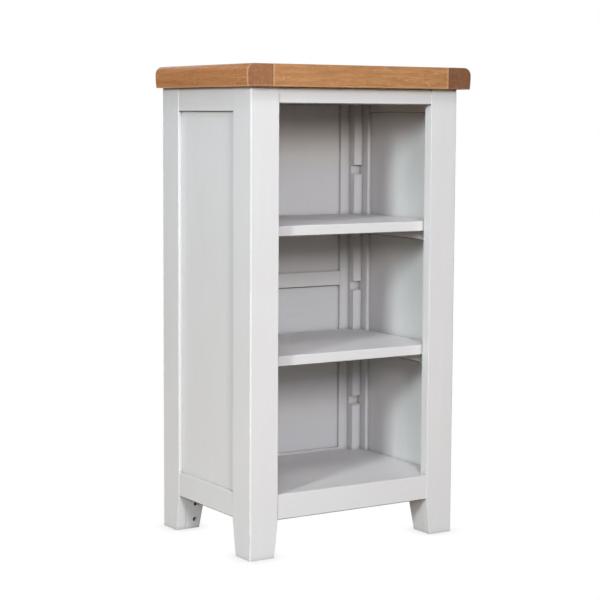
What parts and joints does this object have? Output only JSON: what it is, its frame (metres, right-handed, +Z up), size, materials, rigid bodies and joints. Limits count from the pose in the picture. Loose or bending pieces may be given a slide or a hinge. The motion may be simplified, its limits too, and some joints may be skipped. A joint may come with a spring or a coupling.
{
  "type": "bookcase",
  "caption": "Small open bookcase with a painted panelled case, an oak top, tapered feet and two loose shelves on cleats that can be moved to other notches.",
  "frame": {"origin": "on the floor, under the middle of the overall box", "axes": "+Z up, -Y towards the open front, +X to the right as seen from the front"},
  "size_m": [0.5, 0.357, 0.9095],
  "materials": {
    "painted_wood": "satin light grey paint",
    "oak": "satin clear lacquer",
    "black_screw": "black, dull",
    "zinc_screw": "zinc plated"
  },
  "bodies": {
    "case": {"batten_front": "painted_wood", "batten_rear": "painted_wood", "floor_board": "painted_wood", "foot_block_front_left": "painted_wood", "foot_block_front_right": "painted_wood", "foot_block_rear_left": "painted_wood", "foot_block_rear_right": "painted_wood", "foot_screws": "black_screw", "panel_back_lower": "painted_wood", "panel_back_upper": "painted_wood", "panel_left": "painted_wood", "panel_right": "painted_wood", "post_front_left": "painted_wood", "post_front_right": "painted_wood", "post_rear_left": "painted_wood", "post_rear_right": "painted_wood", "rack_front_left": "painted_wood", "rack_front_right": "painted_wood", "rack_rear_left": "painted_wood", "rack_rear_right": "painted_wood", "rail_back_bottom": "painted_wood", "rail_back_middle": "painted_wood", "rail_back_top": "painted_wood", "rail_front_bottom": "painted_wood", "rail_front_top": "painted_wood", "rail_left_bottom": "painted_wood", "rail_left_top": "painted_wood", "rail_right_bottom": "painted_wood", "rail_right_top": "painted_wood", "top_end_left": "oak", "top_end_right": "oak", "top_field": "oak", "top_screws": "zinc_screw"},
    "shelf_upper": {"shelf_upper": "painted_wood"},
    "shelf_lower": {"shelf_lower": "painted_wood"},
    "cleat_upper_left": {"cleat_upper_left": "painted_wood"},
    "cleat_upper_right": {"cleat_upper_right": "painted_wood"},
    "cleat_lower_left": {"cleat_lower_left": "painted_wood"},
    "cleat_lower_right": {"cleat_lower_right": "painted_wood"}
  },
  "joints": [
    {"name": "shelf_upper_lift", "type": "slide", "parent": "case", "child": "shelf_upper", "axis": [0, 0, 1], "range_m": [0, 0.22]},
    {"name": "shelf_lower_lift", "type": "slide", "parent": "case", "child": "shelf_lower", "axis": [0, 0, 1], "range_m": [0, 0.19]},
    {"name": "cleat_upper_left_slide", "type": "slide", "parent": "case", "child": "cleat_upper_left", "axis": [1, 0, 0], "range_m": [0, 0.045]},
    {"name": "cleat_upper_right_slide", "type": "slide", "parent": "case", "child": "cleat_upper_right", "axis": [-1, 0, 0], "range_m": [0, 0.045]},
    {"name": "cleat_lower_left_slide", "type": "slide", "parent": "case", "child": "cleat_lower_left", "axis": [1, 0, 0], "range_m": [0, 0.045]},
    {"name": "cleat_lower_right_slide", "type": "slide", "parent": "case", "child": "cleat_lower_right", "axis": [-1, 0, 0], "range_m": [0, 0.045]}
  ]
}
